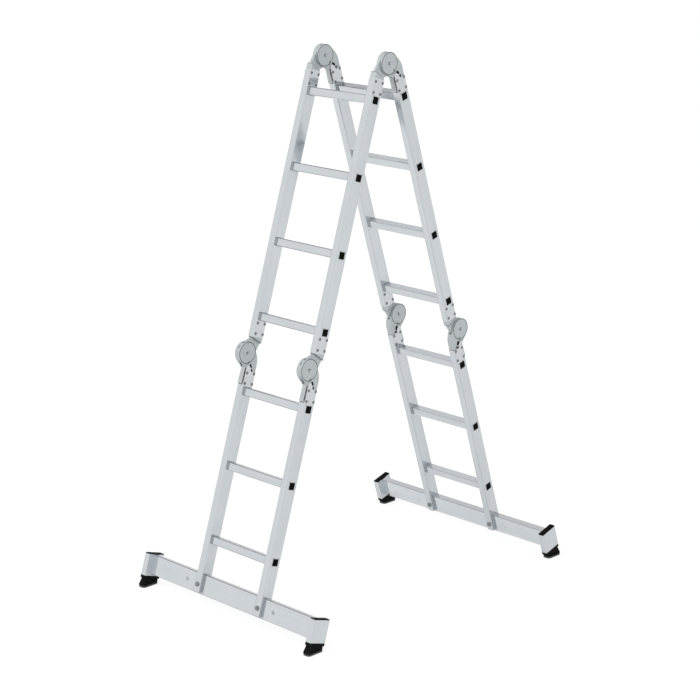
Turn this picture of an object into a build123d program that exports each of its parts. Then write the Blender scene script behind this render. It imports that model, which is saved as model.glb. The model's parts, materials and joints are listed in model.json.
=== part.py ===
from build123d import *
import math
import os

# Combination ladder: four ladder sections joined by six locking hinges, standing as a step ladder.
# Millimetres, Z up, soles on Z = 0, X along the rungs, front leg towards -Y.
# Each leg is drawn upright, with the top hinge pin on the X axis and +Y to the outside of the ladder,
# and is then leaned by TILT. The front leg is the same leg turned half round about Z.

# Leg
TILT = 17.5  # lean of each leg
PITCH = 280.0  # rung to rung
END_PITCH = 140.0  # hinge pin to the nearest rung
PIN_OFFSET = 34.2  # hinge pin to the middle of the stile
UPPER_RUNGS = 4
LOWER_RUNGS = 3

# Stile and rung
WIDTH = 353.4  # over the stiles
STILE_X = 30.0
STILE_Y = 50.0
STILE_WALL = 2.0
CORNER = 1.8  # broken corners of the tubes
STILE_END = 1880.0  # top rung to the lower end of the stile
RUNG = 30.0
RUNG_WALL = 2.5
RUNG_PROUD = 0.8  # rung end beyond the stile face
GROOVE = (1.8, 1.0)  # tread groove, width and depth
PLUG_DEPTH = 10.0
PLUG_PROUD = 0.6

# Stabiliser bar, end tubes and feet, one tube profile
BAR = (25.0, 76.0)
BAR_WALL = 2.0
BAR_DROP = 1849.0  # top rung to the middle of the bar
SPAN = 916.0  # over the end tubes
END_TUBE = 83.0  # length of an end tube
LID = 3.0
FOOT_DROP = 37.7  # end tube to the floor, along the leg
FLANGE = 11.0
SOLE = (34.0, 73.0, 9.0)
BOLT_DROP = 1852.0  # top rung to the bolt in the fork
SHANK = 4.0

# Hinge, in arm coordinates: u along the stile from the pin, v from the pin towards the stile
BOSS_R = 41.0
DISC_R = BOSS_R
DISC_HALF = 5.0  # half the thickness of the tongue
CHEEK_IN = 10.0  # inner face of a cheek from the middle of the hinge
SHEET = 2.0
ARM_END = 122.0
ARM_NEAR = PIN_OFFSET - STILE_Y / 2 + STILE_WALL + 0.4
ARM_FAR = PIN_OFFSET + STILE_Y / 2 - STILE_WALL - 0.2
CUT_A = 66.0  # stile end on the cheek arm
CUT_B = 62.0  # stile end on the tongue arm
STEP = 58.0  # tongue steps out to the stile width, distance from the pin
SLEEVE = 2.5  # wall of the tongue's sleeve in the stile
STEP_DIR = (0.938, 0.347)
PIN_R = 7.0
FIT = 0.05  # radial running fit

# Lock: a tooth on the lever swings into notches of the tongue's disc
FOLDS = (0.0, 50.0, 145.0, 180.0)  # fold angles with a notch: ladder, platform, steps, stowed
LEVER_PIN = (65.0, 16.5)
LEVER_SWING = 10.0
LEVER_HALF = 9.5
FORK = 6.0  # half the slot in the upper end of the lever, which lets the neck of the tongue pass
FORK_END = 48.5  # pin to the foot of that slot
WEB_OUT = 6.5  # outer face of a lever web from the middle of the hinge
TRUNNION = 3.0
TOOTH = (27.0, 34.0)  # flanks of the tooth, arcs about the lever pin, so that a load can't turn the lever
TOOTH_HALF = 3.0
SLOT_HALF = 3.3  # notches lie between the side walls of the disc
DRAWN = 0.5  # drawn tooth from the disc
PLAY = 0.4  # tooth in its notch
SPRING = 0.8
SIGHT_ANGLE = 32.0  # line of the sight holes over the tooth
SIGHT_END = 72.0  # pin to the farther sight hole

MID_Z = -(2 * END_PITCH + (UPPER_RUNGS - 1) * PITCH)
STILE_AT = (WIDTH - STILE_X) / 2
FOOT_Z = -(END_PITCH + BAR_DROP - BAR[1] / 2 + END_TUBE)
PIN_HEIGHT = (FOOT_DROP - FOOT_Z) * math.cos(math.radians(TILT)) - PIN_OFFSET * math.sin(math.radians(TILT))

REAR = Pos(0, 0, PIN_HEIGHT) * Rot(X=TILT)
FRONT = Rot(Z=180) * REAR
LEGS = {"front": FRONT, "rear": REAR}
SIDES = {"left": -1, "right": 1}


def uv(u, v):
    """Arm coordinates to the YZ sketch of an upright leg."""
    return (v, -u)


def polar(radius, angle):
    """A point of the arm sketch at an angle from the arm's own axis."""
    turn = math.radians(angle)
    return uv(radius * math.cos(turn), radius * math.sin(turn))


def radial(radius, angle):
    """Sketch placement with its X axis pointing away from the pin."""
    return Pos(*polar(radius, angle)) * Rot(Z=angle - 90)


def slab(sketch, start, end):
    """Extrude an arm sketch along X from start to end."""
    return extrude(Plane.YZ.offset(start) * sketch, end - start)


def both_sides(solid):
    return [solid, mirror(solid, Plane.YZ)]


def bevelled(width, depth, cut):
    """Rectangle with broken corners."""
    return chamfer(Rectangle(width, depth).vertices(), cut)


def hollow(size, wall):
    """Rectangular tube section with broken outer corners."""
    return bevelled(*size, CORNER) - Rectangle(size[0] - 2 * wall, size[1] - 2 * wall)


def rung_z(number):
    return -(END_PITCH + number * PITCH)


def save(name, solids, place):
    group = solids if isinstance(solids, list) else [solids]
    export_step(Compound([place * solid for solid in group]), f"parts/{name}.step")


# Hinge pieces, drawn once at a pin on the X axis


def shoulder(inset):
    """Curved top edge of the cheek arm, drawn in from the outline by inset."""
    start = uv(-9 + 0.7 * inset, 40 - 0.8 * inset)
    crest = uv(12 + 0.4 * inset, 53.4 - inset)
    return ThreePointArc(start, crest, uv(36, 58.4 - inset))


def cheek_outline():
    """Round boss and shoulder, running out as a tab inside the stile."""
    tab = Polyline(
        uv(36, 58.4),
        uv(CUT_A - 1, 58.4),
        uv(CUT_A - 1, ARM_FAR),
        uv(ARM_END, ARM_FAR),
        uv(ARM_END, ARM_NEAR),
        uv(30, ARM_NEAR),
        uv(-9, 40),
    )
    return Circle(BOSS_R) + make_face([shoulder(0), tab])


def cheek():
    """Cheek on the +X side: thick boss on its free side, sight holes over the lock."""
    arm = Polyline((0, 0), polar(90, 97), polar(120, 41), polar(90, -15), close=True)
    boss = Circle(BOSS_R) - make_face(arm)
    ends = [Line(shoulder(0) @ end, shoulder(SHEET) @ end) for end in (0, 1)]
    rim = boss + make_face([shoulder(0), shoulder(SHEET), *ends])
    shell = slab(cheek_outline(), CHEEK_IN, CHEEK_IN + SHEET) + slab(rim, DISC_HALF + 0.4, CHEEK_IN)
    sights = radial(55.5, SIGHT_ANGLE) * bevelled(15, 8, 2) + radial(SIGHT_END, SIGHT_ANGLE) * Rectangle(6, 8)
    bearing = Pos(*uv(*LEVER_PIN)) * RegularPolygon(TRUNNION + FIT, 8, major_radius=False)
    return shell - slab(sights + bearing + RegularPolygon(PIN_R, 10, major_radius=False), 0, 20)


def swung(sketch, swing):
    """An arm sketch turned about the lever pin."""
    u, v = LEVER_PIN
    return Pos(*uv(u, v)) * Rot(Z=swing) * Pos(*uv(-u, -v)) * sketch


def from_lever(radius, angle):
    """A point of the arm sketch at an angle about the lever pin."""
    along = (radius * math.cos(math.radians(angle)), radius * math.sin(math.radians(angle)))
    return uv(LEVER_PIN[0] + along[0], LEVER_PIN[1] + along[1])


def tooth_band(play):
    """Ring about the lever pin that the tooth moves in, on the side of the lock."""
    ring = Circle(TOOTH[1] + play) - Circle(TOOTH[0] - play)
    side = Polyline(*[from_lever(r, a) for r, a in ((0, 0), (60, 137), (60, 162), (60, 200))], close=True)
    return Pos(*uv(*LEVER_PIN)) * ring & make_face(side)


def notch(fold):
    """Seat of the swung tooth in the tongue's own sketch, which is the mirror image of the cheek's."""
    tip = swung(Circle(DISC_R + DRAWN - PLAY), LEVER_SWING)
    return Rot(Z=fold) * mirror(tooth_band(PLAY) - tip, Plane.XZ)


def tongue():
    """Disc with notches between its side walls, and a neck, welded to a sleeve that fills the stile."""
    far = uv((STEP - STEP_DIR[1] * ARM_FAR) / STEP_DIR[0], ARM_FAR)
    near = uv((STEP - STEP_DIR[1] * ARM_NEAR) / STEP_DIR[0], ARM_NEAR)
    flanks = Polyline(
        polar(DISC_R, 104.6),
        far,
        uv(ARM_END, ARM_FAR),
        uv(ARM_END, ARM_NEAR),
        near,
        polar(DISC_R, -27.8),
        (0, 0),
        close=True,
    )
    outline = Circle(DISC_R) + make_face(flanks) - Circle(PIN_R + FIT)
    lean = math.degrees(math.atan2(STEP_DIR[1], STEP_DIR[0]))
    beyond = radial(STEP + 100, lean) * Rectangle(200, 300)
    disc = slab(outline - beyond, -DISC_HALF, DISC_HALF)
    for fold in FOLDS:
        disc -= slab(notch(fold), -SLOT_HALF, SLOT_HALF)
    side = STILE_X / 2 - STILE_WALL - 0.1
    core = Pos(*uv(ARM_END, (ARM_NEAR + ARM_FAR) / 2)) * Rectangle(ARM_FAR - ARM_NEAR - 2 * SLEEVE, 200)
    hollow_core = radial(STEP + SLEEVE + 100, lean) * Rectangle(200, 300) & core
    sleeve = slab(outline & beyond, -side, side) - slab(hollow_core, SLEEVE - side, side - SLEEVE)
    return disc + sleeve


def hinge_pin():
    """Pin riveted over on the outside of both cheeks."""
    end = CHEEK_IN + SHEET + 0.6
    return slab(Circle(PIN_R), -end, end)


def lock_block():
    """Spacer between the cheek arms, its slanted face carrying the lock spring."""
    end = ARM_END - 2
    face = Polyline(uv(68, 33), uv(82, 26), uv(end, 26), uv(end, 56), uv(56, 56), uv(56, 44), close=True)
    return slab(make_face(face), 0.1 - CHEEK_IN, CHEEK_IN - 0.1)


def lock_spring():
    """Bent strip between the block and the back of the tooth."""
    bend = Polyline(uv(67.2, 33.15), uv(55.7, 43.7), uv(47.7, 35.1))
    return slab(trace(bend, SPRING), 1 - TOOTH_HALF, TOOTH_HALF - 1)


def lever():
    """Finger strip with a forked upper end, two webs, trunnions in the cheeks and a lock tooth."""
    outer = (uv(42.5, 4.7), uv(104, 3), uv(114, 1.5))
    inner = (uv(114.3, 3.5), uv(104.3, 5), uv(42.5, 6.7))
    web = Polyline(uv(52, 6), uv(74, 5.4), uv(69, 20), uv(61, 20), uv(53, 9.5), close=True)
    back = ((8, 185), (28, 152), (TOOTH[1], 137), (7, 85), (6, -60))
    arm = Polyline(*[from_lever(*corner) for corner in back], close=True)
    tooth = tooth_band(0) - Circle(DISC_R + DRAWN) + make_face(arm)
    body = slab(make_face(Polyline(*outer, *inner, close=True)), -LEVER_HALF, LEVER_HALF)
    body -= slab(Pos(*uv(FORK_END - 5, 6)) * Rectangle(12, 10), -FORK, FORK)
    body += slab(tooth, -TOOTH_HALF, TOOTH_HALF)
    for wing in both_sides(slab(make_face(web), TOOTH_HALF, WEB_OUT)):
        body += wing
    pivot = Pos(*uv(*LEVER_PIN)) * RegularPolygon(TRUNNION, 8)
    return body + slab(pivot, -CHEEK_IN - 1.9, CHEEK_IN + 1.9)


# Places of the hinge arms on an upright leg

TOP_ARM = Pos(0, 0, 0)
MID_CHEEK = Pos(0, 2 * PIN_OFFSET, MID_Z) * Rot(Z=180)
MID_TONGUE = Pos(0, 2 * PIN_OFFSET, MID_Z) * Rot(X=180)


def cheek_end():
    """Material taken off a stile end that takes a cheek arm: slanted end, sight notch and lever slot."""
    end = Polyline(uv(20, 20), uv(44, 20), uv(CUT_A, 42), uv(CUT_A, 80), uv(20, 80), close=True)
    slot = Pos(*uv(79, PIN_OFFSET - STILE_Y / 2)) * Rectangle(5, 78)
    sight = radial(SIGHT_END - 1, SIGHT_ANGLE) * Rectangle(12, 12)
    return slab(make_face(end) + sight, -30, 30) + slab(slot, -LEVER_HALF - 0.7, LEVER_HALF + 0.7)


def across_fork(radius, length, sides=8):
    """Prism along Y, for the bolts in the forks and their holes."""
    return Rot(X=90) * extrude(RegularPolygon(radius, sides), length / 2, both=True)


def stile(top, bottom, rungs):
    """Tube on the leg line, pierced for its rungs."""
    tube = extrude(hollow((STILE_X, STILE_Y), STILE_WALL), top - bottom)
    tube = Pos(0, PIN_OFFSET, bottom) * tube
    for number in rungs:
        tube -= Pos(0, PIN_OFFSET, rung_z(number)) * Box(60, RUNG + 0.2, RUNG + 0.2)
    return tube


def upper_stile(cheeked):
    top = -44 if cheeked else -CUT_B
    tube = stile(top, MID_Z + CUT_B, range(UPPER_RUNGS))
    return tube - TOP_ARM * cheek_end() if cheeked else tube


def lower_stile():
    """Stile with a cheek arm above and an open fork for the bar below."""
    tube = stile(MID_Z - 44, -(END_PITCH + STILE_END), range(UPPER_RUNGS, UPPER_RUNGS + LOWER_RUNGS))
    fork_top = -(END_PITCH + BAR_DROP - BAR[1] / 2 - 0.3)
    fork = Pos(0, PIN_OFFSET, fork_top - 60) * Box(60, BAR[0] + 0.6, 120)
    bore = Pos(0, PIN_OFFSET, -(END_PITCH + BOLT_DROP)) * across_fork(SHANK + 0.2, 80)
    return tube - MID_CHEEK * cheek_end() - fork - bore


def rung():
    """Square tube with a grooved tread on its upper face."""
    section = hollow((RUNG, RUNG), RUNG_WALL)
    top = RUNG / 2 - GROOVE[1] / 2
    section -= [Pos(y, top) * Rectangle(*GROOVE) for y in (-9, -3, 3, 9)]
    return slab(section, -WIDTH / 2 - RUNG_PROUD, WIDTH / 2 + RUNG_PROUD)


def rung_plugs():
    """A plug for each end of a rung, its face a little proud of the tube."""
    size = RUNG - 2 * RUNG_WALL - 0.4
    outer = WIDTH / 2 + RUNG_PROUD
    return both_sides(slab(Rectangle(size, size), outer - PLUG_DEPTH, outer + PLUG_PROUD))


def stabiliser():
    """Flat tube through the forks, drilled for its bolts."""
    tube = slab(hollow(BAR, BAR_WALL), -(SPAN / 2 - BAR[0]), SPAN / 2 - BAR[0])
    for side in SIDES.values():
        tube -= Pos(side * STILE_AT, 0, BAR_DROP - BOLT_DROP) * across_fork(SHANK + 0.2, 60)
    return tube


def fork_bolt():
    """Bolt across the fork, its hexagon head outside and its nut inside."""
    head = Pos(0, (STILE_Y + 5) / 2, 0) * across_fork(8, 5, 6)
    nut = Pos(0, -(STILE_Y + 6) / 2, 0) * across_fork(8, 6, 6)
    return across_fork(SHANK, STILE_Y) + head + nut


def end_lid():
    lug = Pos(0, 0, -14) * extrude(Rectangle(BAR[0] - 5, BAR[1] - 5), 14)
    return extrude(bevelled(*BAR, CORNER), LID, taper=20) + lug


def foot():
    """Rubber foot of the rear leg at the right end: lug and flange on the tube, waist, level sole."""
    tube_end = REAR * Pos(0, PIN_OFFSET, FOOT_Z)
    lug = tube_end * extrude(Rectangle(BAR[0] - 5, BAR[1] - 5), 18)
    flange = tube_end * Pos(0, 0, -FLANGE) * extrude(bevelled(*BAR, CORNER), FLANGE)
    sole_at = Pos(0, (tube_end * Pos(0, 0, -FOOT_DROP)).position.Y, 0)
    sole = sole_at * extrude(bevelled(SOLE[0], SOLE[1], 7), SOLE[2])
    upper = tube_end * Pos(0, 0, -FLANGE) * Rectangle(BAR[0] - 6, BAR[1] - 12)
    waist = extrude(upper, FOOT_DROP, dir=upper.faces()[0].normal_at() * -1, taper=-8)
    return lug + flange + split(waist, Plane.XY.offset(SOLE[2] - 1), keep=Keep.TOP) + sole


CHEEK_PAIR = both_sides(cheek())
TONGUE = tongue()
PIN = hinge_pin()
BLOCK = lock_block()
STRIP = lock_spring()
LEVER = lever()
PLUGS = rung_plugs()
RUNG_TUBE = rung()
BAR_TUBE = stabiliser()
END_POST = extrude(hollow(BAR, BAR_WALL), END_TUBE)
FORK_BOLT = fork_bolt()
END_LID = end_lid()
FOOT = foot()
LOWER_STILE = lower_stile()
UPPER_STILE = {"front": upper_stile(False), "rear": upper_stile(True)}


def pair(solids, arm=TOP_ARM):
    """The same hinge pieces on the left and the right stile."""
    group = solids if isinstance(solids, list) else [solids]
    return [Pos(side * STILE_AT, 0, 0) * arm * solid for side in SIDES.values() for solid in group]


os.makedirs("parts", exist_ok=True)
for leg, place in LEGS.items():
    mirror_x = -1 if leg == "front" else 1
    for name, side in SIDES.items():
        across = Pos(side * mirror_x * STILE_AT, 0, 0)
        save(f"{leg}_upper_stile_{name}", across * UPPER_STILE[leg], place)
        save(f"{leg}_lower_stile_{name}", across * LOWER_STILE, place)
        save(f"{leg}_lever_{name}", across * MID_CHEEK * LEVER, place)
    levels = [Pos(0, PIN_OFFSET, rung_z(k)) for k in range(UPPER_RUNGS + LOWER_RUNGS)]
    for number, level in enumerate(levels, 1):
        save(f"{leg}_rung_{number}", level * RUNG_TUBE, place)
    save(f"{leg}_upper_plugs", [at * plug for at in levels[:UPPER_RUNGS] for plug in PLUGS], place)
    save(f"{leg}_lower_plugs", [at * plug for at in levels[UPPER_RUNGS:] for plug in PLUGS], place)
    save(f"{leg}_hinge_cheeks", pair(CHEEK_PAIR, MID_CHEEK), place)
    save(f"{leg}_hinge_tongues", pair(TONGUE, MID_TONGUE), place)
    save(f"{leg}_hinge_pins", pair(PIN, MID_CHEEK), place)
    save(f"{leg}_lock_blocks", pair(BLOCK, MID_CHEEK), place)
    save(f"{leg}_lock_springs", pair(STRIP, MID_CHEEK), place)
    bar_at = Pos(0, PIN_OFFSET, -(END_PITCH + BAR_DROP))
    save(f"{leg}_stabiliser_bar", bar_at * BAR_TUBE, place)
    posts = [Pos(side * (SPAN - BAR[0]) / 2, PIN_OFFSET, FOOT_Z) for side in SIDES.values()]
    save(f"{leg}_end_tubes", [post * END_POST for post in posts], place)
    save(f"{leg}_end_lids", [post * Pos(0, 0, END_TUBE) * END_LID for post in posts], place)
    bolt_at = Pos(0, PIN_OFFSET, -(END_PITCH + BOLT_DROP))
    save(f"{leg}_fork_bolts", [bolt_at * solid for solid in pair(FORK_BOLT)], place)
    turn = Rot(Z=180) if leg == "front" else Pos(0, 0, 0)
    feet = [Pos(side * (SPAN - BAR[0]) / 2, 0, 0) * FOOT for side in SIDES.values()]
    save(f"{leg}_feet", feet, turn)

# Top hinge: cheek arms on the rear leg, tongues on the front leg
save("top_hinge_cheeks", pair(CHEEK_PAIR), REAR)
save("top_hinge_pins", pair(PIN), REAR)
save("top_lock_blocks", pair(BLOCK), REAR)
save("top_lock_springs", pair(STRIP), REAR)
save("top_hinge_tongues", pair(TONGUE), FRONT)
for name, side in SIDES.items():
    across = Pos(side * STILE_AT, 0, 0)
    save(f"top_lever_{name}", across * LEVER, REAR)
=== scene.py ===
# %% [markdown]
# # A combination ladder, dressed in Blender
#
# The solids of the ladder come from its CAD source and are never changed here. This lesson gives them a
# camera, light and finishes, and adds the small things that a workshop adds last: rivets, flared rung ends
# and plug caps, pressed discs and pin heads on the hinges, thin plates round the hinge levers, and the
# washers and cover buttons of the stabiliser bars.

# %% Load the solids
import json
import math

import bmesh
import bpy
from mathutils import Matrix, Vector


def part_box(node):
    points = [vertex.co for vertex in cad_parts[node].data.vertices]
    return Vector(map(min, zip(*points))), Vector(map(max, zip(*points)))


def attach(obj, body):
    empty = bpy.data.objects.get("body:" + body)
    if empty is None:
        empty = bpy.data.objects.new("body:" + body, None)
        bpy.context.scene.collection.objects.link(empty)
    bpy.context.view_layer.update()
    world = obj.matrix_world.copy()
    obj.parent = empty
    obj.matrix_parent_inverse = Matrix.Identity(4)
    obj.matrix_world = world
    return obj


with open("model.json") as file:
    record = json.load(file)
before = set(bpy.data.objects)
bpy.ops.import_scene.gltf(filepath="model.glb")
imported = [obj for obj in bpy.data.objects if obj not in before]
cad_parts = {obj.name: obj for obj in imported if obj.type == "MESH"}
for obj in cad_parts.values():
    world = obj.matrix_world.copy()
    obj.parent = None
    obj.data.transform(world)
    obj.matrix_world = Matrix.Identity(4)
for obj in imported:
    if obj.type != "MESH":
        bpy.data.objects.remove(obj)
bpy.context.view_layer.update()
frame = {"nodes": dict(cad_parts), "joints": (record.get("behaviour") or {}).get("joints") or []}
nodes = frame["nodes"]
scene = bpy.context.scene
scene.view_settings.view_transform = "Standard"

# %% [markdown]
# ## Finding our way around the legs
#
# Both legs lean, so places on them are easier to give along the leg than along the axes of the room. The
# rungs tell us how a leg runs: from the first to the last is the leg's own direction, and the top hinge
# pin is where both legs meet. Everything below is placed with `on_leg`, so nothing has to be typed twice.

# %% Leg directions, measured from the rungs
MM = 0.001
X_AXIS = Vector((1, 0, 0))
LEGS = {"front": -1, "rear": 1}
SIDES = {"left": -1, "right": 1}
RUNGS = 7


def middle(node):
    low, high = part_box(node)
    return (Vector(low) + Vector(high)) / 2


joint_at = {joint["name"]: Vector(joint["pos_m"]) for joint in frame["joints"] if "pos_m" in joint}
top_pin = joint_at["top_fold"]
leg_up = {leg: (middle(f"{leg}_rung_1") - middle(f"{leg}_rung_{RUNGS}")).normalized() for leg in LEGS}
leg_out = {leg: Vector((0, sign * leg_up[leg].z, -sign * leg_up[leg].y)) for leg, sign in LEGS.items()}
tilt = math.degrees(math.asin(abs(leg_up["rear"].y)))
pin_offset = (middle("rear_rung_1") - top_pin).dot(leg_out["rear"])
mid_along = (joint_at["rear_mid_fold"] - top_pin).dot(leg_up["rear"])
stile_x = middle("rear_upper_stile_right").x
stile_low, stile_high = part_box("rear_upper_stile_right")
stile_half = (stile_high[0] - stile_low[0]) / 2


def on_leg(leg, x, out, along):
    """A point x across, out from the top pin to the outside, and along the leg, where down is minus."""
    return top_pin + X_AXIS * x + leg_out[leg] * out + leg_up[leg] * along


print(f"lean {tilt:.2f} degrees, pin to stile {pin_offset / MM:.1f} mm, mid pin {mid_along / MM:.0f} mm")

# %% [markdown]
# ## Where the hinge arms are
#
# A hinge arm has its own coordinates: u along the stile from the pin, v from the pin towards the stile. The
# top hinge sits on the inside of the ladder and the two middle hinges on the outside, so v runs the other
# way there. The cheek arms and tongue arms of one hinge belong to different bodies, and at the top hinge
# they lie along different legs.

# %% Hinge arms
HINGES = {"top": {"cheek": ("rear", "rear_upper"), "tongue": ("front", "front_upper")}}
for leg in LEGS:
    HINGES[leg] = {"cheek": (leg, f"{leg}_lower"), "tongue": (leg, f"{leg}_upper")}
FACES = [(side, face) for side in SIDES.values() for face in (-1, 1)]
PIN_PROUD = 0.6 * MM


def arm_leg(hinge, kind):
    return HINGES[hinge][kind][0]


def arm_body(hinge, kind):
    return HINGES[hinge][kind][1]


def arm_place(hinge, kind, x, u, v):
    """A point of a cheek or tongue arm, u and v in metres."""
    leg = arm_leg(hinge, kind)
    if hinge == "top":
        return on_leg(leg, x, v, -u)
    return on_leg(leg, x, 2 * pin_offset - v, mid_along + (-u if kind == "cheek" else u))


cheek_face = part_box("top_hinge_pins")[1][0] - stile_x - PIN_PROUD
print("hinges:", list(HINGES), f"cheek face {cheek_face / MM:.1f} mm from the middle of the stile")

# %% [markdown]
# ## Camera
#
# The ladder is seen from its right front and nearly a metre above the top hinge. A long lens from a good
# seven metres away keeps upright lines nearly parallel.

# %% Camera
LENS = 104.2
CAMERA_AT = Vector((5.1203, -5.2065, 2.9066))
CAMERA_RIGHT = Vector((0.7113, 0.7029, 0.001))
CAMERA_FORWARD = Vector((-0.6771, 0.6856, -0.2675))

forward = CAMERA_FORWARD.normalized()
right = (CAMERA_RIGHT - forward * CAMERA_RIGHT.dot(forward)).normalized()
up = right.cross(forward)
camera_data = bpy.data.cameras.new("camera")
camera_data.lens = LENS
camera_data.clip_end = 100
camera = bpy.data.objects.new("camera", camera_data)
camera.matrix_world = Matrix.Translation(CAMERA_AT) @ Matrix((right, up, -forward)).transposed().to_4x4()
scene.collection.objects.link(camera)
scene.camera = camera
print("camera", [round(c, 2) for c in CAMERA_AT], "lens", LENS)

# %% [markdown]
# ## Node graphs as expressions
#
# Finishes and repeated pieces are both graphs of nodes. Wrapping a socket in a small class lets us write a
# graph as sums: `0.3 + 0.1 * streaks` adds its two Math nodes by itself. Every other node comes from one
# method, `node`, which takes the node's type, its settings and the values or links of its sockets.


# %% Sockets and graphs
class Sock:
    """A socket that takes part in plain arithmetic."""

    def __init__(self, graph, socket):
        self.graph = graph
        self.socket = socket

    def math(self, operation, *values):
        return self.graph.node("ShaderNodeMath", {"operation": operation}, dict(enumerate(values)))

    def __add__(self, other):
        return self.math("ADD", self, other)

    def __sub__(self, other):
        return self.math("SUBTRACT", self, other)

    def __rsub__(self, other):
        return self.math("SUBTRACT", other, self)

    def __mul__(self, other):
        return self.math("MULTIPLY", self, other)

    __radd__ = __add__
    __rmul__ = __mul__

    def __abs__(self):
        return self.math("ABSOLUTE", self)

    def or_more(self, other):
        return self.math("MAXIMUM", self, other)


class Graph:
    """A node tree and the one method that adds to it."""

    def __init__(self, tree):
        self.tree = tree

    def node(self, kind, settings=None, values=None, output=0):
        made = self.tree.nodes.new(kind)
        for key, value in (settings or {}).items():
            setattr(made, key, value)
        for key, value in (values or {}).items():
            if isinstance(value, Sock):
                self.tree.links.new(value.socket, made.inputs[key])
            else:
                made.inputs[key].default_value = value
        return Sock(self, made.outputs[output])


print("graph helper ready")

# %% [markdown]
# ## What every finish needs
#
# A finish is a Principled shader with a few nodes in front of it: a place on the object, noise of a given
# size, a ramp that turns noise into a mask, and a blend of two colours by that mask. The places are object
# coordinates in metres, so a noise size of 100 means spots of about a centimetre.


# %% Finish helper
class Finish(Graph):
    """A Principled material and the nodes that feed it."""

    def __init__(self, name, **constants):
        self.material = bpy.data.materials.new(name)
        self.material.use_nodes = True
        super().__init__(self.material.node_tree)
        self.shader = self.tree.nodes["Principled BSDF"]
        for key, value in constants.items():
            self.feed(key.replace("_", " "), value)

    def feed(self, name, value):
        socket = self.shader.inputs[name]
        if isinstance(value, Sock):
            self.tree.links.new(value.socket, socket)
        else:
            socket.default_value = (*value, 1) if isinstance(value, tuple) else value

    def place(self, turn=0.0, scale=(1, 1, 1)):
        """Object coordinates turned about X, in degrees, and stretched."""
        where = self.node("ShaderNodeTexCoord", output="Object")
        values = {"Vector": where, "Rotation": (math.radians(turn), 0, 0)}
        turned = self.node("ShaderNodeMapping", None, values)
        return self.node("ShaderNodeVectorMath", {"operation": "MULTIPLY"}, {0: turned, 1: scale})

    def part(self, where, axis):
        """One coordinate of a place, X, Y or Z."""
        return self.node("ShaderNodeSeparateXYZ", None, {0: where}, output=axis)

    def noise(self, where, size, detail=3.0, rough=0.55):
        values = {"Vector": where, "Scale": size, "Detail": detail, "Roughness": rough}
        return self.node("ShaderNodeTexNoise", None, values)

    def ramp(self, value, low, high):
        """0 at low, 1 at high, straight in between."""
        return self.node("ShaderNodeMapRange", None, {"Value": value, "From Min": low, "From Max": high})

    def blend(self, mask, first, second):
        """Colour first where mask is 0, second where it is 1."""
        ends = [(*colour, 1) if isinstance(colour, tuple) else colour for colour in (first, second)]
        values = {0: mask, 6: ends[0], 7: ends[1]}
        return self.node("ShaderNodeMix", {"data_type": "RGBA"}, values, output=2)

    def bump(self, height, distance, strength):
        values = {"Height": height, "Distance": distance, "Strength": strength}
        self.feed("Normal", self.node("ShaderNodeBump", None, values))


print("finish helper ready")

# %% [markdown]
# ## Where painted shade lies on the tubes
#
# Shade is painted into the colour of the tubes: along their edges, in the corners where rungs meet stiles
# and beside the forks that hold the stabiliser bars, where the metal lies in shade or mirrors darker
# things, and the tops of the bars are painted darker. The section of a tube is a rectangle, so two distances
# from its middle find its edges, because their sum is largest there. Corners and forks are found by how far
# they are from a stile. The rungs repeat along the leg, so one wrap of the distance along it serves all of
# them.

# %% Places on the tubes
pitch = (middle("rear_rung_1") - middle("rear_rung_2")).length


def leg_place(finish, leg, node):
    """Distances across and along a leg from the middle of a node."""
    turn = -LEGS[leg] * tilt
    zero = Matrix.Rotation(math.radians(turn), 3, "X") @ middle(node)
    where = finish.place(turn)
    return abs(finish.part(where, "Y") - zero.y), finish.part(where, "Z") - zero.z


def off_stile(finish):
    """Distance in X from the middle of the nearer stile."""
    return abs(abs(finish.part(finish.place(), "X")) - stile_x)


def beyond_half(finish, distance, limits):
    """A ramp between two limits that are counted from the wide face of a stile."""
    return finish.ramp(distance, stile_half + limits[0], stile_half + limits[1])


print(f"rung pitch {pitch / MM:.0f} mm, half a stile {stile_half / MM:.1f} mm")

# %% Painted shade on stiles and rungs
STILE_EDGE_SHADE = {"front": 0.08, "rear": 0.25}
STILE_EDGE = (36.9 * MM, 37.9 * MM)
ON_STILE = (2 * MM, 1 * MM)
RUNG_EDGE_SHADE = {"front": 0.95, "rear": 0.5}
RUNG_UPPER_EDGE = (26.3 * MM, 27.6 * MM)
RUNG_LOWER_EDGE = (26.6 * MM, 28.0 * MM)
RUNG_LOWER_SHARE = 0.2
TOP_RUNG_SHADE = {"front": 0.0, "rear": 0.48}
TOP_EDGE_SHARE = 0.9
TREAD = (13.6 * MM, 14.4 * MM)
UNDER_TOP_RUNG = (-17 * MM, -16 * MM)
CORNER_SHADE = 0.42
CORNER = (10.8 * MM, 9.8 * MM)
IN_STILE = (-6 * MM, -4 * MM)


def stile_edge_shade(finish, leg):
    """Painted shade along the corners of a leg's stiles, and none on the end tubes, which share the finish.
    """
    across = leg_place(finish, leg, f"{leg}_rung_1")[0]
    off = off_stile(finish)
    edge = finish.ramp(across + off, *STILE_EDGE)
    return STILE_EDGE_SHADE[leg] * edge * beyond_half(finish, off, ON_STILE)


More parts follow.
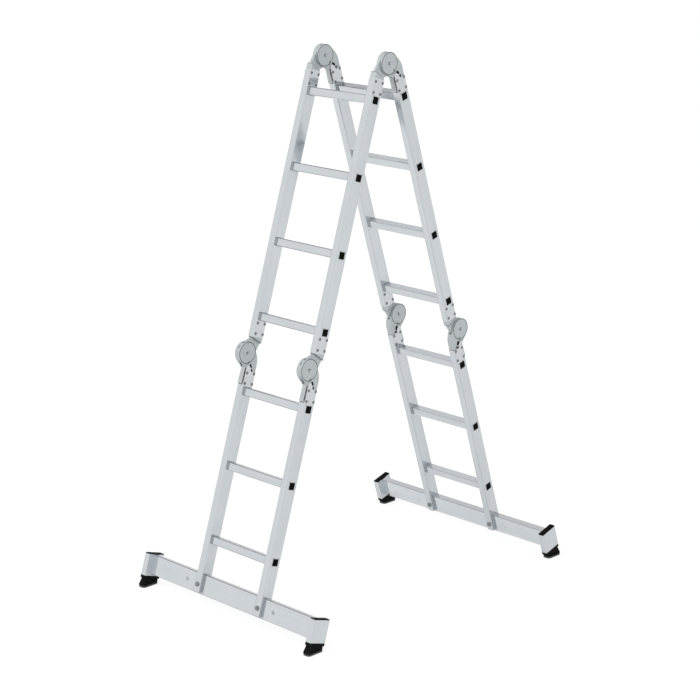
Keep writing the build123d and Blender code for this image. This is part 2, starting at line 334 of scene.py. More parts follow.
def rung_shade(finish, leg):
    """Painted shade along the edges of a leg's rungs, in the corners at the stiles, and on the top rung's
    tread.
    """
    across, height = leg_place(finish, leg, f"{leg}_rung_1")
    inside = stile_x - abs(finish.part(finish.place(), "X"))
    corner = CORNER_SHADE * beyond_half(finish, inside, CORNER) * beyond_half(finish, inside, IN_STILE)
    top_tread = finish.ramp(height, *TREAD)
    top_rung = finish.ramp(height, *UNDER_TOP_RUNG)
    height = height.math("WRAP", height, pitch / 2, -pitch / 2)
    upper = finish.ramp(across + height, *RUNG_UPPER_EDGE)
    lower = finish.ramp(across - height, *RUNG_LOWER_EDGE)
    # The top rung of a leg gets more painted shade along its upper edge.
    painted_dark = RUNG_EDGE_SHADE[leg] + (TOP_EDGE_SHARE * TOP_RUNG_SHADE[leg]) * top_rung
    edges = painted_dark * upper.or_more(RUNG_LOWER_SHARE * lower)
    return edges.or_more(TOP_RUNG_SHADE[leg] * top_tread).or_more(corner)


print("painted shade for stiles and rungs:", STILE_EDGE_SHADE, RUNG_EDGE_SHADE)

# %% Painted shade on the stabiliser bars
BAR_TOP_DARK = 0.5
BAR_TOP = (36.9 * MM, 37.6 * MM)
BAR_EDGE_SHADE = {"front": 1.0, "rear": 0.7}
BAR_UPPER_EDGE = (46.4 * MM, 47.8 * MM)
BAR_LOWER_EDGE = (47.2 * MM, 48.6 * MM)
BAR_LOWER_SHARE = 0.35
FORK_SHADE = 0.45
FORK = (13 * MM, 12 * MM)


def bar_shade(finish, leg):
    """A darker top of a stabiliser bar, and painted shade along its edges and beside the forks."""
    across, height = leg_place(finish, leg, f"{leg}_stabiliser_bar")
    fork = beyond_half(finish, off_stile(finish), FORK)
    top_side = finish.ramp(height, *BAR_TOP)
    upper = finish.ramp(across + height, *BAR_UPPER_EDGE)
    lower = finish.ramp(across - height, *BAR_LOWER_EDGE)
    edges = BAR_EDGE_SHADE[leg] * upper.or_more(BAR_LOWER_SHARE * lower)
    return (BAR_TOP_DARK * top_side).or_more(edges).or_more(FORK_SHADE * fork)


print("painted shade for bars:", BAR_EDGE_SHADE)

# %% [markdown]
# ## Drawn aluminium
#
# Stiles, rungs and bars are extruded tubes with a mill finish: pale, slightly blue, with fine lines that
# run along the tube where it was drawn through its die, and soft cloudy patches from handling. The lines
# are noise that is stretched along the tube, in a fine and a coarse size. Stiles lean, so their noise is
# turned with the leg first. The painted shade of each kind of tube is blended over the metal last.

# %% Aluminium finishes
PALE = (0.640, 0.672, 0.697)
DULL = (0.565, 0.598, 0.625)
# Painted light: the bars get lighter tones than the other tubes, the rear bar the lightest, for the light
# that falls on them.
BAR_PALE_AS_LIT = {"front": (0.650, 0.682, 0.707), "rear": (0.730, 0.762, 0.787)}
BAR_DULL_AS_LIT = {"front": (0.575, 0.608, 0.635), "rear": (0.655, 0.688, 0.715)}
# A grey for the painted shade on the tubes.
ALUMINIUM_SHADE = (0.30, 0.316, 0.33)
LINES_ACROSS, LINES_ALONG = 650.0, 3.0
BAND_WIDTH = 6
CLOUDS = 8.0
ALONG_RUNG, ALONG_LEG = 0, 2


def drawn_aluminium(name, along, leg, dull, pale, shade_mask):
    """Mill finish with lines along an axis of the leg, and painted shade on top."""
    finish = Finish(name, Metallic=0.85)
    turn = -LEGS[leg] * tilt
    lines = [LINES_ACROSS] * 3
    lines[along] = LINES_ALONG
    streaks = finish.noise(finish.place(turn, tuple(lines)), 1.0, 2.0)
    bands = finish.noise(finish.place(turn, tuple(c / BAND_WIDTH for c in lines)), 1.0, 2.0)
    clouds = finish.noise(finish.place(turn), CLOUDS, 4.0)
    shade = finish.ramp(streaks * 0.4 + bands * 0.3 + clouds * 0.3, 0.36, 0.66)
    metal = finish.blend(shade, dull, pale)
    finish.feed("Base Color", finish.blend(shade_mask(finish, leg), metal, ALUMINIUM_SHADE))
    finish.feed("Roughness", 0.07 + 0.04 * streaks + 0.04 * clouds)
    finish.bump(streaks, 0.0001, 0.15)
    return finish.material


stile_finish, rung_finish, bar_finish = {}, {}, {}
for leg in LEGS:
    stile_finish[leg] = drawn_aluminium(f"stile_aluminium_{leg}", ALONG_LEG, leg, DULL, PALE, stile_edge_shade)
    rung_finish[leg] = drawn_aluminium(f"rung_aluminium_{leg}", ALONG_RUNG, leg, DULL, PALE, rung_shade)
    bar_lit_tones = BAR_DULL_AS_LIT[leg], BAR_PALE_AS_LIT[leg]
    bar_finish[leg] = drawn_aluminium(f"bar_aluminium_{leg}", ALONG_RUNG, leg, *bar_lit_tones, bar_shade)
print("aluminium finishes: stiles, rungs, bars")

# %% [markdown]
# ## Plated steel
#
# The hinges are pressed steel under a dull grey plating, a little mottled. Shade is painted into two
# places: a dark ring round the edge of the pressed disc of each cheek, and a dark line along the seam where
# the tongue's sleeve starts. The ring is found by its distance from the pin, once the place is flattened
# along the pin. The seam is a straight line, so the place's share in the direction across it is enough.

# %% Painted shade on the hinges
DISC_RADIUS = 38.0 * MM
EDGE_SHADE_OFF = 1.1 * MM
EDGE_SHADE_BAND = (1.5 * MM, 1.1 * MM)
FACE_SKIN = (0.6 * MM, 0.3 * MM)
SEAM_SHADE = {"top": 0.45, "front": 0.8, "rear": 0.8}
SEAM_ACROSS = (0.938, 0.347)
SEAM_AT = 59.3 * MM
SEAM = (1.6 * MM, 1.0 * MM)


def from_pin(finish, hinge):
    pin = arm_place(hinge, "cheek", 0, 0, 0)
    return finish.node("ShaderNodeVectorMath", {"operation": "SUBTRACT"}, {0: finish.place(), 1: pin})


def disc_edge_shade(finish, hinge):
    """Painted shade: 1 in a ring round the edge of the pressed discs, on the outer faces of the cheeks."""
    values = {0: from_pin(finish, hinge), 1: (0, 1, 1)}
    flat = finish.node("ShaderNodeVectorMath", {"operation": "MULTIPLY"}, values)
    radius = finish.node("ShaderNodeVectorMath", {"operation": "LENGTH"}, {0: flat}, output="Value")
    ring = finish.ramp(abs(radius - (DISC_RADIUS + EDGE_SHADE_OFF)), *EDGE_SHADE_BAND)
    return ring * finish.ramp(off_stile(finish), cheek_face - FACE_SKIN[0], cheek_face - FACE_SKIN[1])


def sleeve_seam_shade(finish, hinge):
    """Painted shade along the edge where the tongue steps out to the width of the stile."""
    across = arm_place(hinge, "tongue", 0, *SEAM_ACROSS) - arm_place(hinge, "tongue", 0, 0, 0)
    values = {0: from_pin(finish, hinge), 1: across}
    reach = finish.node("ShaderNodeVectorMath", {"operation": "DOT_PRODUCT"}, values, output="Value")
    return SEAM_SHADE[hinge] * finish.ramp(abs(reach - SEAM_AT), *SEAM)


print("painted shade for hinges: disc edges and seams")

# %% Steel finishes
# A near black for the painted shade on the hinges.
HINGE_SHADE = (0.06, 0.064, 0.068)
MOTTLE, GRAIN = 130.0, 900.0
PLATE = ((0.428, 0.465, 0.480), (0.528, 0.571, 0.587), 0.36)
STEELS = {
    "disc_steel": PLATE,
    "lever_steel": ((0.43, 0.46, 0.47), (0.53, 0.56, 0.57), 0.34),
    "pin_steel": ((0.34, 0.365, 0.375), (0.46, 0.49, 0.50), 0.32),
    "pale_button": ((0.60, 0.63, 0.65), (0.68, 0.71, 0.73), 0.36),
    "bolt_steel": ((0.16, 0.168, 0.175), (0.27, 0.28, 0.29), 0.34),
    # Near black: painted shade for the ends of the spring pins on the hinges.
    "coil_steel": ((0.035, 0.036, 0.038), (0.07, 0.072, 0.075), 0.45),
    "spring_steel": ((0.24, 0.24, 0.24), (0.34, 0.34, 0.34), 0.3),
}


def plated_steel(name, dark, light, rough, painted_dark=None, hinge=None):
    finish = Finish(name, Metallic=0.45)
    mottle = finish.noise(finish.place(), MOTTLE, 4.0, 0.65)
    grain = finish.noise(finish.place(), GRAIN, 2.0)
    shade = finish.ramp(mottle * 0.7 + grain * 0.3, 0.34, 0.66)
    colour = finish.blend(shade, dark, light)
    # Painted shade from the hinge masks is blended over the plating.
    if painted_dark:
        colour = finish.blend(painted_dark(finish, hinge), colour, HINGE_SHADE)
    finish.feed("Base Color", colour)
    finish.feed("Roughness", rough + 0.16 * mottle)
    finish.bump(grain, 0.00008, 0.4)
    return finish.material


steel = {name: plated_steel(name, *tones) for name, tones in STEELS.items()}
cheek_finish, tongue_finish = {}, {}
for hinge in HINGES:
    cheek_finish[hinge] = plated_steel(f"cheek_steel_{hinge}", *PLATE, disc_edge_shade, hinge)
    tongue_finish[hinge] = plated_steel(f"tongue_steel_{hinge}", *PLATE, sleeve_seam_shade, hinge)
print("steel finishes:", len(steel) + len(cheek_finish) + len(tongue_finish))

# %% [markdown]
# ## Black plastic and rubber
#
# Plugs and lids are moulded plastic with a fine eroded grain. The feet are softer and duller, and their
# soles are scuffed to grey along the lower edge, which here is a matter of height above the floor.

# %% Plastic and rubber finishes
SCUFFS = 60.0
SCUFF_SPREAD = 4 * MM
WORN_BELOW = (10.5 * MM, 7.5 * MM)


def moulded(name, dark, light, rough, grain_size, depth, worn=None):
    finish = Finish(name, Specular_IOR_Level=0.03)
    grain = finish.noise(finish.place(), grain_size, 3.0)
    scuffs = finish.noise(finish.place(), SCUFFS, 5.0, 0.7)
    colour = finish.blend(finish.ramp(scuffs, 0.42, 0.75), dark, light)
    if worn:
        height = finish.part(finish.place(), "Z")
        edge = finish.ramp(height + SCUFF_SPREAD * scuffs, *WORN_BELOW)
        colour = finish.blend(edge, colour, worn)
    finish.feed("Base Color", colour)
    finish.feed("Roughness", rough + 0.2 * scuffs)
    finish.bump(grain, depth, 0.5)
    return finish.material


PLUG_BLACK = ((0.0022, 0.0024, 0.0026), (0.006, 0.0063, 0.0066))
BLOCK_BLACK = ((0.030, 0.030, 0.031), (0.055, 0.055, 0.056))
RUBBER_BLACK = ((0.006, 0.0062, 0.0065), (0.017, 0.0175, 0.018))
SOLE_GREY = (0.085, 0.086, 0.088)
plug_finish = moulded("black_plastic", *PLUG_BLACK, rough=0.45, grain_size=1400.0, depth=0.00006)
block_finish = moulded("block_plastic", *BLOCK_BLACK, rough=0.45, grain_size=900.0, depth=0.00006)
foot_finish = moulded(
    "black_rubber", *RUBBER_BLACK, rough=0.55, grain_size=700.0, depth=0.00012, worn=SOLE_GREY
)
print("plastic and rubber finishes: plugs, blocks, feet")

# %% [markdown]
# ## Dressing the solids
#
# The name of a CAD node says what it is. A short list gives a finish to every word that can be part of a
# name, and the first of them that is found decides. Finishes that differ from leg to leg or from hinge to
# hinge are picked by the first word of the name.


# %% Give every solid its finish
def finish_of(node):
    leg = "front" if node.startswith("front") else "rear"
    hinge = node.split("_")[0]
    by_word = {
        "stile_": stile_finish[leg],
        "end_tubes": stile_finish[leg],
        "rung": rung_finish[leg],
        "bar": bar_finish[leg],
        "cheeks": cheek_finish[hinge],
        "tongues": tongue_finish[hinge],
        "pins": steel["pin_steel"],
        "lever": steel["lever_steel"],
        "springs": steel["spring_steel"],
        "fork_bolts": steel["bolt_steel"],
        "blocks": block_finish,
        "plugs": plug_finish,
        "lids": plug_finish,
        "feet": foot_finish,
    }
    return next(finish for word, finish in by_word.items() if word in node)


for name, solid in nodes.items():
    solid.data.materials.clear()
    solid.data.materials.append(finish_of(name))
print("finished solids:", len(nodes))

# %% [markdown]
# ## Planting small pieces with Geometry Nodes
#
# Rivets, rims, caps and discs repeat all over the ladder. Each is drawn once, standing on the XY plane, in
# a tree of Geometry Nodes with named sizes. The tree then plants a copy on every point of a little mesh of
# points: the copy's Z axis turns to the point's `facing`, and its X axis to the point's `along`.


# %% Pattern helper
class Pattern(Graph):
    """A Geometry Nodes tree that plants one shape on every point of a mesh."""

    def __init__(self, name, sizes):
        super().__init__(bpy.data.node_groups.new(name, "GeometryNodeTree"))
        face = self.tree.interface
        face.new_socket("Points", in_out="INPUT", socket_type="NodeSocketGeometry")
        for size in sizes:
            face.new_socket(size, in_out="INPUT", socket_type="NodeSocketFloat")
        face.new_socket("Finish", in_out="INPUT", socket_type="NodeSocketMaterial")
        face.new_socket("Planted", in_out="OUTPUT", socket_type="NodeSocketGeometry")
        self.entry = self.tree.nodes.new("NodeGroupInput")

    def given(self, name):
        return Sock(self, self.entry.outputs[name])

    def vector(self, x, y, z):
        return self.node("ShaderNodeCombineXYZ", None, {0: x, 1: y, 2: z})

    def named(self, name):
        return self.node("GeometryNodeInputNamedAttribute", {"data_type": "FLOAT_VECTOR"}, {"Name": name})

    def plant(self, shape):
        """End the tree: shape on every point, made real, with its finish."""
        align = "FunctionNodeAlignRotationToVector"
        turn = self.node(align, {"axis": "Z"}, {"Vector": self.named("facing")})
        values = {"Rotation": turn, "Vector": self.named("along")}
        turn = self.node(align, {"axis": "X", "pivot_axis": "Z"}, values)
        values = {"Points": self.given("Points"), "Instance": shape, "Rotation": turn}
        copies = self.node("GeometryNodeInstanceOnPoints", None, values)
        real = self.node("GeometryNodeRealizeInstances", None, {0: copies})
        values = {"Geometry": real, "Material": self.given("Finish")}
        done = self.node("GeometryNodeSetMaterial", None, values)
        self.tree.links.new(done.socket, self.tree.nodes.new("NodeGroupOutput").inputs[0])


print("pattern helper ready")


# %% From points to a plain mesh
def planted(name, pattern, spots, finish, body, slot, **sizes):
    """One plain mesh of copies. A spot is a place, a facing and an along direction."""
    mesh = bpy.data.meshes.new(name)
    mesh.from_pydata([spot[0] for spot in spots], [], [])
    for column, label in ((1, "facing"), (2, "along")):
        layer = mesh.attributes.new(label, "FLOAT_VECTOR", "POINT")
        for item, spot in zip(layer.data, spots):
            item.vector = spot[column]
    piece = bpy.data.objects.new(name, mesh)
    scene.collection.objects.link(piece)
    modifier = piece.modifiers.new("pattern", "NODES")
    modifier.node_group = pattern.tree
    values = {**sizes, "Finish": finish}
    for item in pattern.tree.interface.items_tree:
        if item.in_out == "INPUT" and item.name in values:
            modifier[item.identifier] = values[item.name]
    plain = bpy.data.meshes.new_from_object(piece.evaluated_get(bpy.context.evaluated_depsgraph_get()))
    piece.modifiers.clear()
    piece.data = plain
    for label in ("facing", "along"):
        if label in plain.attributes:
            plain.attributes.remove(plain.attributes[label])
    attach(piece, body)
    print(f"{name}: {len(spots)} pieces, {len(plain.polygons)} faces, on {body}")


print("planting helper ready")

# %% [markdown]
# ## Rivets
#
# Four blind rivets in each wall of the stile hold an arm in it. A rivet head is a low dome whose middle is a
# small pit, where the broken end of its pulling pin sits. The dome is a squashed sphere, and its distance
# from the middle is kept as an attribute, so the finish can paint shade into the pit and round its foot.

# %% Rivet shape
rivet_pattern = Pattern("rivet", ["Radius", "Height"])
ball = rivet_pattern.node("GeometryNodeMeshUVSphere", None, {"Segments": 18, "Rings": 10, "Radius": 1.0})
spot = rivet_pattern.node("GeometryNodeInputPosition")
flat = rivet_pattern.node("ShaderNodeVectorMath", {"operation": "MULTIPLY"}, {0: spot, 1: (1, 1, 0)})
off_middle = rivet_pattern.node("ShaderNodeVectorMath", {"operation": "LENGTH"}, {0: flat}, output="Value")
marked = rivet_pattern.node(
    "GeometryNodeStoreNamedAttribute",
    {"data_type": "FLOAT", "domain": "POINT"},
    {"Geometry": ball, "Name": "off_middle", "Value": off_middle},
)
radius, height = rivet_pattern.given("Radius"), rivet_pattern.given("Height")
squash = {"Geometry": marked, "Scale": rivet_pattern.vector(radius, radius, height)}
dome = rivet_pattern.node("GeometryNodeTransform", None, squash)
rivet_pattern.plant(rivet_pattern.node("GeometryNodeSetShadeSmooth", None, {"Geometry": dome}))
print("rivet tree:", len(rivet_pattern.tree.nodes), "nodes")

# %% Rivet finish
RIVET_DARK, RIVET_LIGHT, RIVET_SHADE = (0.19, 0.20, 0.21), (0.29, 0.30, 0.31), (0.07, 0.072, 0.075)
SPECKS = 500.0
PIT, SHADED_EDGE = (0.42, 0.3), (0.86, 0.98)
rivet_finish = Finish("rivet_steel", Metallic=0.5)
reach = rivet_finish.node("ShaderNodeAttribute", {"attribute_name": "off_middle"}, output="Fac")
speck = rivet_finish.noise(rivet_finish.place(), SPECKS, 3.0)
pit = rivet_finish.ramp(reach, *PIT)
edge = rivet_finish.ramp(reach, *SHADED_EDGE)
head_colour = rivet_finish.blend(rivet_finish.ramp(speck, 0.3, 0.7), RIVET_DARK, RIVET_LIGHT)
# Painted shade: the pit and the outer edge of the head are darkened.
rivet_finish.feed("Base Color", rivet_finish.blend(pit.or_more(edge), head_colour, RIVET_SHADE))
rivet_finish.feed("Roughness", 0.3 + 0.2 * speck)
rivet_finish.bump(1 - pit, 0.0006, 0.5)
print("rivet finish:", len(rivet_finish.tree.nodes), "nodes")

# %% Rivets in both walls of every arm
RIVET = {"Radius": 5.9 * MM, "Height": 2.1 * MM}
RIVET_U = {"cheek": (72.5 * MM, 111.5 * MM), "tongue": (75 * MM, 114.5 * MM)}
RIVET_V = 18 * MM
rivet_spots = {}
for hinge in HINGES:
    for kind, rows in RIVET_U.items():
        spots = rivet_spots.setdefault(arm_body(hinge, kind), [])
        for side, face in FACES:
            for u in rows:
                for v in (pin_offset - RIVET_V, pin_offset + RIVET_V):
                    at = arm_place(hinge, kind, side * stile_x + face * stile_half, u, v)
                    spots.append((at, X_AXIS * face, leg_up[arm_leg(hinge, kind)]))
for body, spots in rivet_spots.items():
    planted(f"rivets_{body}", rivet_pattern, spots, rivet_finish.material, body, "bolt_steel", **RIVET)

# %% [markdown]
# ## Flared rung ends and their plugs
#
# A rung goes right through both stiles and is swaged over, which leaves a thin rounded rim on the outer and
# the inner face of the stile. The rim is a rounded square with a small round section swept along it. A
# black plug closes the rung: its cap is the same rounded square, filled, raised and drawn in at the top.
# The underside is the same square turned over, and merging the doubled rim closes the cap.


# %% Rim and cap shapes
def rounded_square(pattern, width, corner):
    side = pattern.given(width)
    square = pattern.node("GeometryNodeCurvePrimitiveQuadrilateral", None, {"Width": side, "Height": side})
    values = {"Curve": square, "Radius": pattern.given(corner), "Count": 5}
    return pattern.node("GeometryNodeFilletCurve", {"mode": "POLY"}, values)


rim_pattern = Pattern("rim", ["Width", "Corner", "Bead"])
bead_values = {"Resolution": 8, "Radius": rim_pattern.given("Bead")}
bead = rim_pattern.node("GeometryNodeCurvePrimitiveCircle", None, bead_values)
swept = {"Curve": rounded_square(rim_pattern, "Width", "Corner"), "Profile Curve": bead}
rim_pattern.plant(rim_pattern.node("GeometryNodeCurveToMesh", None, swept))

CAP_TOP = 0.9
WELD = 0.001 * MM
cap_pattern = Pattern("cap", ["Width", "Corner", "Height"])
filled = {"Curve": rounded_square(cap_pattern, "Width", "Corner")}
base = cap_pattern.node("GeometryNodeFillCurve", {"mode": "NGONS"}, filled)
raised = cap_pattern.tree.nodes.new("GeometryNodeExtrudeMesh")
cap_pattern.tree.links.new(base.socket, raised.inputs["Mesh"])
cap_pattern.tree.links.new(cap_pattern.given("Height").socket, raised.inputs["Offset Scale"])
top_values = {
    "Geometry": Sock(cap_pattern, raised.outputs["Mesh"]),
    "Selection": Sock(cap_pattern, raised.outputs["Top"]),
    "Scale": CAP_TOP,
}
drawn_in = cap_pattern.node("GeometryNodeScaleElements", None, top_values)
under = cap_pattern.node("GeometryNodeFlipFaces", None, {"Mesh": base})
both = cap_pattern.tree.nodes.new("GeometryNodeJoinGeometry")
for half in (under, drawn_in):
    cap_pattern.tree.links.new(half.socket, both.inputs[0])
welded = {"Geometry": Sock(cap_pattern, both.outputs[0]), "Distance": WELD}
cap_pattern.plant(cap_pattern.node("GeometryNodeMergeByDistance", None, welded))
print("rim tree:", len(rim_pattern.tree.nodes), "nodes, cap tree:", len(cap_pattern.tree.nodes), "nodes")

# %% Rims and caps on every rung
RIM = {"Width": 31.2 * MM, "Corner": 3 * MM, "Bead": 0.95 * MM}
CAP = {"Width": 26.6 * MM, "Corner": 3.2 * MM, "Height": 1.1 * MM}
CAP_SUNK = 0.3 * MM
UPPER_RUNGS = 4
plug_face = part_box("rear_upper_plugs")[1][0]
rim_spots, cap_spots = {}, {}
for leg in LEGS:
    for number in range(1, RUNGS + 1):
        centre = middle(f"{leg}_rung_{number}")
        body = f"{leg}_upper" if number <= UPPER_RUNGS else f"{leg}_lower"
        for side, face in FACES:
            at = centre + X_AXIS * (side * stile_x + face * stile_half)
            rim_spots.setdefault(body, []).append((at, X_AXIS * face, leg_up[leg]))
        for side in SIDES.values():
            at = centre + X_AXIS * side * (plug_face - CAP_SUNK)
            cap_spots.setdefault(body, []).append((at, X_AXIS * side, leg_up[leg]))
for body, spots in rim_spots.items():
    finish = rung_finish[body.split("_")[0]]
    planted(f"rung_rims_{body}", rim_pattern, spots, finish, body, "rung_aluminium", **RIM)
    planted(f"plug_caps_{body}", cap_pattern, cap_spots[body], plug_finish, body, "black_plastic", **CAP)

# %% [markdown]
# ## Pressed discs, pin heads, washers and buttons
#
# Four round things are all the same shape, a flat disc with a sloping edge: the raised disc that is pressed
# into each hinge cheek, the riveted head of the hinge pin on it, the washers under the fork bolts and the
# buttons that close two holes in each stabiliser bar. One tree with three sizes makes all of them.

# %% Disc shape
disc_pattern = Pattern("disc", ["Radius", "Slope", "Height"])
wide = disc_pattern.given("Radius")
cone = {
    "Vertices": 56,
    "Radius Top": wide - disc_pattern.given("Slope"),
    "Radius Bottom": wide,
    "Depth": disc_pattern.given("Height"),
}
disc_pattern.plant(disc_pattern.node("GeometryNodeMeshCone", None, cone))
print("disc tree:", len(disc_pattern.tree.nodes), "nodes")

# %% Discs and pin heads on the hinges
DISC = {"Radius": DISC_RADIUS, "Slope": 0.5 * MM, "Height": 0.35 * MM}
HEAD = {"Radius": 6.6 * MM, "Slope": 0.9 * MM, "Height": 0.6 * MM}


def cheek_spots(hinge, u=0.0, v=0.0, high=0.0):
    """The same place on the outer faces of a hinge's four cheeks, or high above it."""
    spots = []
    for side, face in FACES:
        at = arm_place(hinge, "cheek", side * stile_x + face * (cheek_face + high), u, v)
        spots.append((at, X_AXIS * face, leg_up[arm_leg(hinge, "cheek")]))
    return spots


for hinge in HINGES:
    body = arm_body(hinge, "cheek")
    discs, heads = cheek_spots(hinge), cheek_spots(hinge, high=DISC["Height"])
    planted(f"pressed_discs_{hinge}", disc_pattern, discs, steel["disc_steel"], body, "hinge_steel", **DISC)
    planted(f"pin_heads_{hinge}", disc_pattern, heads, steel["disc_steel"], body, "pin_steel", **HEAD)

# %% Buttons and washers on the bars
BUTTON = {"Radius": 8.2 * MM, "Slope": 1.2 * MM, "Height": 0.8 * MM}
BUTTON_X = 231.3 * MM
BAR_HALF = 12.5 * MM
WASHER = {"Radius": 10.5 * MM, "Slope": 0.5 * MM, "Height": 1.3 * MM}
FORK_HALF = 25 * MM
button_finish = {"front": steel["pin_steel"], "rear": steel["pale_button"]}
for leg in LEGS:
    body = f"{leg}_lower"
    bar_at = middle(f"{leg}_stabiliser_bar")
    bolt_along = (middle(f"{leg}_fork_bolts") - top_pin).dot(leg_up[leg])
    buttons, washers = [], []
    for side, face in FACES:
        facing = leg_out[leg] * face
        buttons.append((bar_at + X_AXIS * side * BUTTON_X + facing * BAR_HALF, facing, X_AXIS))
        fork_at = on_leg(leg, side * stile_x, pin_offset + face * FORK_HALF, bolt_along)
        washers.append((fork_at, facing, X_AXIS))
    planted(f"bar_buttons_{leg}", disc_pattern, buttons, button_finish[leg], body, "pin_steel", **BUTTON)
    planted(f"fork_washers_{leg}", disc_pattern, washers, steel["pin_steel"], body, "bolt_steel", **WASHER)

# %% [markdown]
# ## Slotted spring pins
#
# The middle of the hinge pin and a small stop at the edge of the pressed disc show the end of a rolled
# spring pin: a ring of sheet that doesn't quite close. Their near-black colour is painted shade, for the
# shade along the edge of the pin head and of the stop. An arc with a small square section swept along it
# gives the open ring, and the same tree makes both sizes.

# %% Spring pin ends
coil_pattern = Pattern("spring_pin", ["Radius", "Sheet"])
arc_values = {
    "Resolution": 20,
    "Radius": coil_pattern.given("Radius"),
    "Start Angle": math.radians(-50),
    "Sweep Angle": math.radians(230),
}
arc = coil_pattern.node("GeometryNodeCurveArc", None, arc_values)
sheet = {"Width": coil_pattern.given("Sheet"), "Height": coil_pattern.given("Sheet")}
section = coil_pattern.node("GeometryNodeCurvePrimitiveQuadrilateral", None, sheet)
coil_values = {"Curve": arc, "Profile Curve": section, "Fill Caps": True}
coil_pattern.plant(coil_pattern.node("GeometryNodeCurveToMesh", None, coil_values))

COILS = {
    "pin_coils": (0, 0, DISC["Height"] + HEAD["Height"], {"Radius": 4.3 * MM, "Sheet": 2.1 * MM}),
    "stop_coils": (34 * MM, 16 * MM, DISC["Height"], {"Radius": 3.3 * MM, "Sheet": 1.9 * MM}),
}
for hinge in HINGES:
    body = arm_body(hinge, "cheek")
    for name, (*place, sizes) in COILS.items():
        spots = cheek_spots(hinge, *place)
        planted(f"{name}_{hinge}", coil_pattern, spots, steel["coil_steel"], body, "bolt_steel", **sizes)

# %% [markdown]
# ## Plates on the hinge cheeks
#
# Two sight holes in each cheek are filled with black plastic, as painted shade for the dark inside of the
# holes: a thin backing plate lies behind them, with a pad that fills each hole and a lip on the face. On the
# free side, a chin runs from the boss down to the lever in a straight tangent, a thin apron covers the upper
# end of the gap beside the lever, and a trough lies under the lever. On the other side a web closes the
# shoulder between the two cheeks. All of these are plates with a given outline in the coordinates of the
# hinge arm, so one helper stands each outline up between two distances from the middle of the stile.


# %% Plate helper
def stood_up(hinge, name, plates, finish):
    """One mesh of plates on both stiles. A plate is an outline, a low and a high distance, in mm."""
    shape = bmesh.new()
    made = 0
    for side, face in FACES:
        for outline, low, high in plates:
            if low < 0 and face < 0:
                continue  # a plate across the middle of the stile is made once
            rings = []
            for off in (low, high):
                x = side * stile_x + face * off * MM
                corners = [arm_place(hinge, "cheek", x, u * MM, v * MM) for u, v in outline]
                rings.append([shape.verts.new(corner) for corner in corners])
            shape.faces.new(rings[0])
            shape.faces.new(rings[1])
            for k in range(len(outline)):
                shape.faces.new((rings[0][k - 1], rings[0][k], rings[1][k], rings[1][k - 1]))
            made += 1
    bmesh.ops.recalc_face_normals(shape, faces=shape.faces)
    mesh = bpy.data.meshes.new(f"{name}_{hinge}")
    shape.to_mesh(mesh)
    shape.free()
    mesh.materials.append(finish)
    piece = bpy.data.objects.new(mesh.name, mesh)
    scene.collection.objects.link(piece)
    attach(piece, arm_body(hinge, "cheek"))
    print(f"{mesh.name}: {made} plates, {len(mesh.polygons)} faces")


print("plate helper ready")

# %% Outlines of the black shade plates: backing, pads and lips
SIGHT_ANGLE = math.radians(32)
SIGHT_HOLES = ((55.5, 14.7), (72, 5.7))
PAD_WIDTH, PAD_CUT = 7.7, 1.9
LIP_WIDTH, LIP_CUT, LIP_LONGER = 9.8, 2.6, 2
BACKING_SIDE = [(47.4, 6), (49, 7.5), (64, 7.5), (66, 5.5), (76, 5.5)]


def sight(reach, off):
    """Arm coordinates of a point on the line of the sight holes, or off it, in millimetres."""
    cos, sin = math.cos(SIGHT_ANGLE), math.sin(SIGHT_ANGLE)
    return (reach * cos - off * sin, reach * sin + off * cos)


def bevelled_pad(reach, length, width, cut):
    """Rectangle with broken corners on the line of the sight holes."""
    a, b = length / 2, width / 2
    near = [(-a, cut - b), (cut - a, -b), (a - cut, -b), (a, cut - b)]
    return [sight(reach + x, y) for x, y in near + [(-x, -y) for x, y in near]]


backing = [sight(reach, -off) for reach, off in BACKING_SIDE]
backing += [sight(reach, off) for reach, off in reversed(BACKING_SIDE)]
# Black plates fill the sight holes as painted shade for their dark inside.
shade_plates = [(backing, 9.35, 9.9)]
for reach, length in SIGHT_HOLES:
    shade_plates.append((bevelled_pad(reach, length, PAD_WIDTH, PAD_CUT), 9.8, 12.1))
    shade_plates.append((bevelled_pad(reach, length + LIP_LONGER, LIP_WIDTH, LIP_CUT), 12.0, 12.35))
print("sight shades:", len(shade_plates), "outlines")

# %% Outlines of chins, webs and troughs
BOSS = 41.0
BOSS_SKIN = 0.1
TANGENT = math.radians(-37)
ARC_STEPS = 6
WEB_DROP, WEB_LEAN = 1.9, 0.8

chin_tip = (BOSS / math.cos(TANGENT), 0.0)
angles = [TANGENT * k / ARC_STEPS for k in range(ARC_STEPS + 1)]
round_boss = [((BOSS + BOSS_SKIN) * math.cos(a), (BOSS + BOSS_SKIN) * math.sin(a)) for a in angles]
chin = [chin_tip, *round_boss]
apron = [(40.2, 8.8), (55, 8.8), (56, 3.5), chin_tip, round_boss[0]]
chins = [(chin, 5.7, 12.0), (apron, 10.3, 11.9)]

crest = [(1, 47.3), (6, 50.6), (12, 53.4), (20, 56.0), (28, 57.6), (36, 58.4)]
leans = [WEB_LEAN * share for share in (1, 0.8, 0.6, 0.4, 0.2, 0)]
shoulder = crest + [(u + lean, v - WEB_DROP) for lean, (u, v) in zip(leans, crest)][::-1]
back = [(36, 58.4), (65, 58.4), (65, 56.4), (36, 56.4)]
trough = [(80, 13.4), (117.5, 13.4), (117.5, 14.4), (80, 14.4)]
webs = [(shoulder, -5.35, 5.35), (back, -9.95, 9.95), (trough, -9.9, 9.9)]
for hinge in HINGES:
    stood_up(hinge, "cheek_webs", webs, cheek_finish[hinge])
    stood_up(hinge, "sight_shades", shade_plates, plug_finish)
    stood_up(hinge, "cheek_chins", chins, cheek_finish[hinge])

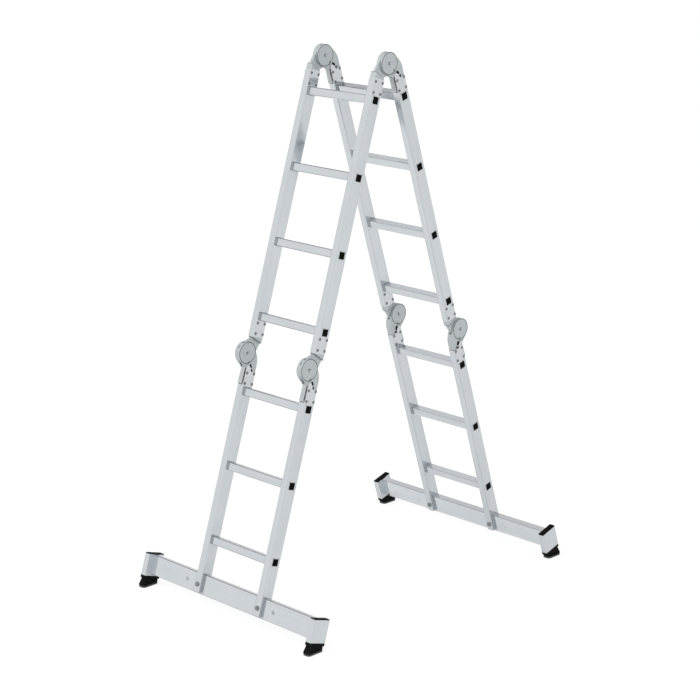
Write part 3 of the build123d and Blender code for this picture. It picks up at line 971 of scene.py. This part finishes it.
# %% [markdown]
# ## Floor and light
#
# A pale floor and an even white surround, as in a photo studio. Rays that come straight from the camera, or
# that metal or glass passes on, see plain white, while the light that the room gives is weaker. The camera
# sees only a trace of the shade on the floor. The floor that metal mirrors is a little darker near the
# ladder than far away, as it is round an object that stands in its own soft shade. A lamp high in front
# lights the rungs and the front faces, and a wide, weaker one from the right fills the broad faces of the
# stiles.

# %% Surround
ROOM = 0.8
WHITE = (1, 1, 1, 1)
WHITE_RAYS = ("Camera", "Glossy", "Transmission")


def seen_white(graph):
    """1 for rays of the camera, of reflections and of glass, 0 for light."""
    rays = [graph.node("ShaderNodeLightPath", output=f"Is {kind} Ray") for kind in WHITE_RAYS]
    return rays[0].or_more(rays[1]).or_more(rays[2])


world = bpy.data.worlds.new("studio")
scene.world = world
world.use_nodes = True
room = Graph(world.node_tree)
sky = room.tree.nodes["Background"]
sky.inputs["Color"].default_value = WHITE
room.tree.links.new((ROOM + (1 - ROOM) * seen_white(room)).socket, sky.inputs["Strength"])
print("surround: gives", ROOM, "and looks white")

# %% Floor
FLOOR_REACH = 40.0
FLOOR_SEEN, FLOOR_SHARE = (1.10, 1.10, 1.10, 1), 0.75
NEAR, NEAR_GLOW = 2.0, (0.12, 0.12, 0.12)
FAR, FAR_GLOW = 5.0, (0.22, 0.22, 0.22)

floor_mesh = bpy.data.meshes.new("floor")
floor_corners = [(x * FLOOR_REACH, y * FLOOR_REACH, 0) for x, y in ((-1, -1), (1, -1), (1, 1), (-1, 1))]
floor_mesh.from_pydata(floor_corners, [], [(0, 1, 2, 3)])
floor = bpy.data.objects.new("floor", floor_mesh)
scene.collection.objects.link(floor)
paper = Finish("floor", Roughness=0.9, Base_Color=(0.9, 0.9, 0.9))
plain = Sock(paper, paper.shader.outputs[0])
distance = paper.node("ShaderNodeVectorMath", {"operation": "LENGTH"}, {0: paper.place()}, "Value")
mirrored = paper.blend(paper.ramp(distance, NEAR, FAR), NEAR_GLOW, FAR_GLOW)
glow = paper.node("ShaderNodeEmission", None, {"Color": mirrored})
lifted = paper.node("ShaderNodeAddShader", None, {0: plain, 1: glow})
lit = paper.node("ShaderNodeMixShader", None, {0: seen_white(paper), 1: plain, 2: lifted})
bare = paper.node("ShaderNodeEmission", None, {"Color": FLOOR_SEEN})
faint = paper.node("ShaderNodeMixShader", None, {0: FLOOR_SHARE, 1: plain, 2: bare})
by_camera = paper.node("ShaderNodeLightPath", output="Is Camera Ray")
white = paper.node("ShaderNodeMixShader", None, {0: by_camera, 1: lit, 2: faint})
paper.tree.links.new(white.socket, paper.tree.nodes["Material Output"].inputs["Surface"])
floor_mesh.materials.append(paper.material)
print("floor:", 2 * FLOOR_REACH, "metres square")


# %% Lamps
def soft_lamp(name, at, towards, size, power):
    data = bpy.data.lights.new(name, "AREA")
    data.size = size
    data.energy = power
    lamp = bpy.data.objects.new(name, data)
    lamp.location = at
    lamp.rotation_euler = (Vector(towards) - Vector(at)).to_track_quat("-Z", "Y").to_euler()
    scene.collection.objects.link(lamp)


HALF_WAY_UP = (0, 0, 1.0)
soft_lamp("key_lamp", (-1.6, -5.0, 6.0), HALF_WAY_UP, size=2.4, power=130)
soft_lamp("side_lamp", (6.0, 0.3, 2.8), HALF_WAY_UP, size=5.0, power=24)
print("lamps: key and side")
